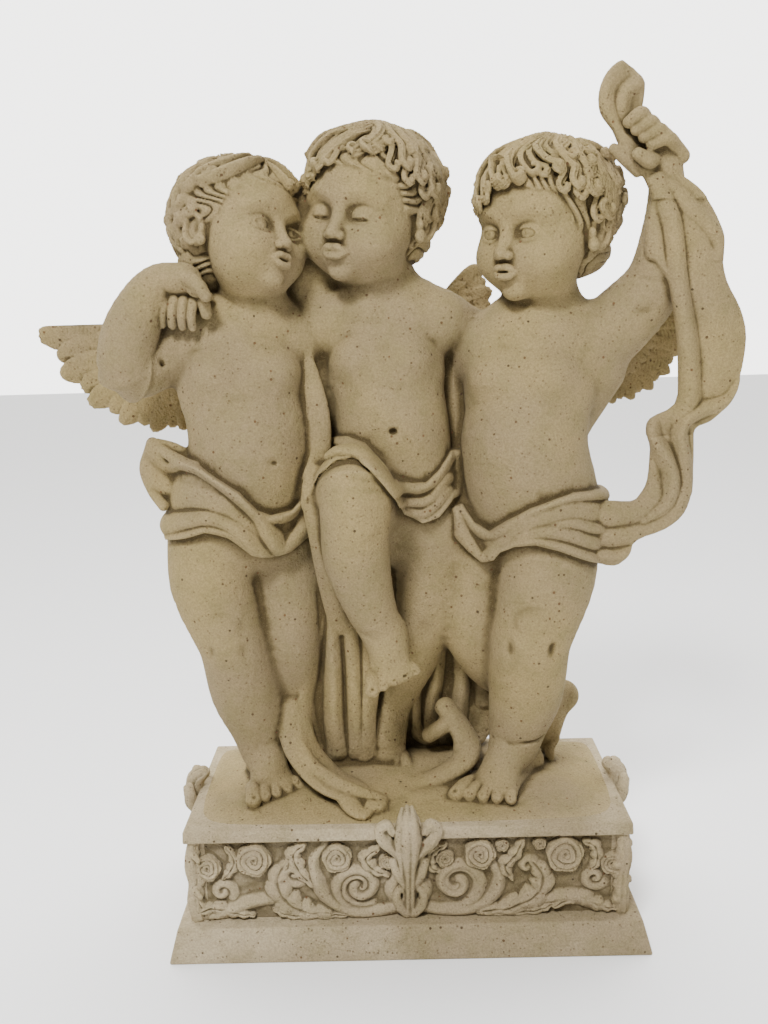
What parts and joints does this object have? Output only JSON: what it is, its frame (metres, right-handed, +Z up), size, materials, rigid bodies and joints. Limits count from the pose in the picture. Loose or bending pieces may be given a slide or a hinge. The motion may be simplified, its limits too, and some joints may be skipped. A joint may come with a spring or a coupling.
{
  "type": "cherub garden statue",
  "caption": "Group of winged cherubs embracing, one holding up a flying drape, cast on an oblong plinth with a frieze of roses and acanthus.",
  "frame": {"origin": "under the middle of the plinth, on the plane it rests on", "axes": "+Z up, +X to the right of a viewer who faces the work, -Y towards that viewer"},
  "size_m": [0.5755, 0.194, 0.69],
  "materials": {
    "cast_stone": "matte cast stone, fine sandy grain with dark specks, weathered olive and brown in the recesses",
    "plinth_stone": "matte cast stone, paler and sandier than the figures, dark specks and brown dirt in the carving"
  },
  "bodies": {
    "root": {"cherub_group": "cast_stone", "plinth": "plinth_stone"}
  },
  "joints": []
}
